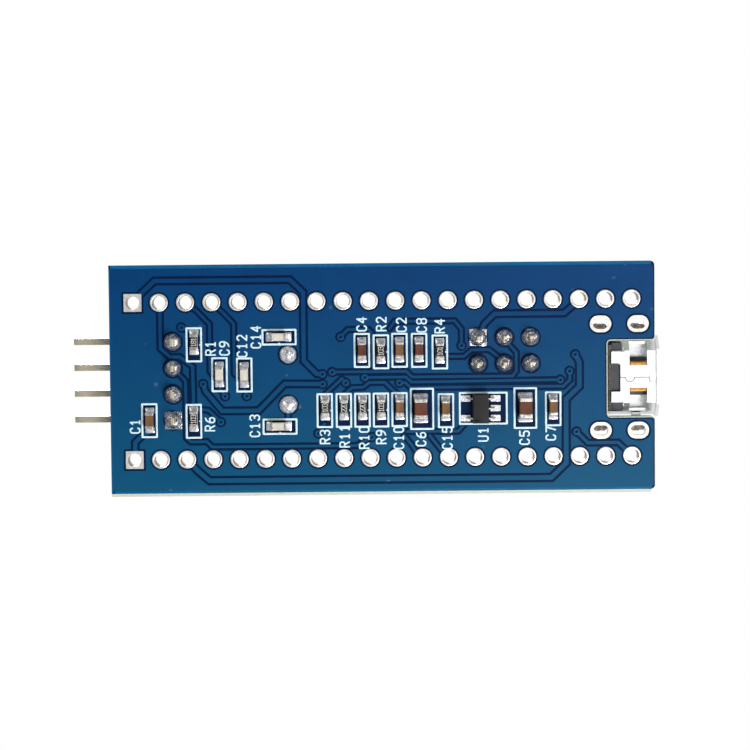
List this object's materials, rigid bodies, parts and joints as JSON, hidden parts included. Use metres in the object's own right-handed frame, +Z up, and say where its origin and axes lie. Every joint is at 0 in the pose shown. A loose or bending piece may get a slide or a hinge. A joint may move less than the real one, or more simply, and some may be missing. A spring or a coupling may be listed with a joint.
{
  "type": "microcontroller development board",
  "caption": "Small rectangular microcontroller board with pin-header holes along both long edges, a USB socket at one end, a right-angle debug header at the other and lift-off boot jumpers.",
  "frame": {"origin": "middle of the footprint, at the height of the tips of the soldered pin tails that the board rests on", "axes": "+X towards the USB socket, along the board; +Z up out of the component side; +Y across the board"},
  "size_m": [0.0572, 0.0226, 0.0124],
  "materials": {
    "solder_mask": "gloss",
    "black_moulding": "matte",
    "white_plastic": "satin",
    "tin_plate": "satin",
    "nickel_steel": "polished",
    "pin_plating": "satin",
    "contact_gold": "polished",
    "yellow_plastic": "satin",
    "resistor_glaze": "satin",
    "brown_ceramic": "satin",
    "tan_ceramic": "satin",
    "pale_ceramic": "satin",
    "red_lens": "gloss",
    "green_lens": "gloss"
  },
  "bodies": {
    "board": {"circuit_board": "solder_mask", "microcontroller": "black_moulding", "voltage_regulator": "black_moulding", "clock_crystal": "black_moulding", "boot_header_strip": "black_moulding", "debug_header_strip": "black_moulding", "reset_button_housing": "black_moulding", "usb_insulator": "black_moulding", "crystal_base": "tin_plate", "crystal_can": "nickel_steel", "usb_shell": "nickel_steel", "boot_pin_1": "pin_plating", "boot_pin_2": "pin_plating", "boot_pin_3": "pin_plating", "boot_pin_4": "pin_plating", "boot_pin_5": "pin_plating", "boot_pin_6": "pin_plating", "debug_pin_1": "pin_plating", "debug_pin_2": "pin_plating", "debug_pin_3": "pin_plating", "debug_pin_4": "pin_plating", "usb_contact_1": "contact_gold", "usb_contact_2": "contact_gold", "usb_contact_3": "contact_gold", "usb_contact_4": "contact_gold", "usb_contact_5": "contact_gold", "resistor_r1": "resistor_glaze", "resistor_r2": "resistor_glaze", "resistor_r3": "resistor_glaze", "resistor_r4": "resistor_glaze", "resistor_r5": "resistor_glaze", "resistor_r6": "resistor_glaze", "resistor_r7": "resistor_glaze", "resistor_r8": "resistor_glaze", "resistor_r9": "resistor_glaze", "resistor_r10": "resistor_glaze", "resistor_r11": "resistor_glaze", "capacitor_c4": "brown_ceramic", "capacitor_c8": "brown_ceramic", "capacitor_c6": "brown_ceramic", "capacitor_c5": "brown_ceramic", "capacitor_c1": "tan_ceramic", "capacitor_c2": "tan_ceramic", "capacitor_c3": "tan_ceramic", "capacitor_c7": "tan_ceramic", "capacitor_c10": "tan_ceramic", "capacitor_c11": "tan_ceramic", "capacitor_c15": "tan_ceramic", "capacitor_c9": "pale_ceramic", "capacitor_c12": "pale_ceramic", "capacitor_c13": "pale_ceramic", "capacitor_c14": "pale_ceramic", "power_led": "red_lens", "status_led": "green_lens"},
    "reset_plunger": {"reset_button_plunger": "white_plastic"},
    "jumper_boot0": {"jumper_cap_boot0": "yellow_plastic", "jumper_clip_boot0": "contact_gold"},
    "jumper_boot1": {"jumper_cap_boot1": "yellow_plastic", "jumper_clip_boot1": "contact_gold"}
  },
  "joints": [
    {"name": "reset_press", "type": "slide", "parent": "board", "child": "reset_plunger", "axis": [0, 0, -1], "range_m": [0, 0.0003], "stiffness_N_per_m": 4000},
    {"name": "jumper_boot0_lift", "type": "slide", "parent": "board", "child": "jumper_boot0", "axis": [0, 0, 1], "range_m": [0, 0.008]},
    {"name": "jumper_boot1_lift", "type": "slide", "parent": "board", "child": "jumper_boot1", "axis": [0, 0, 1], "range_m": [0, 0.008]}
  ]
}
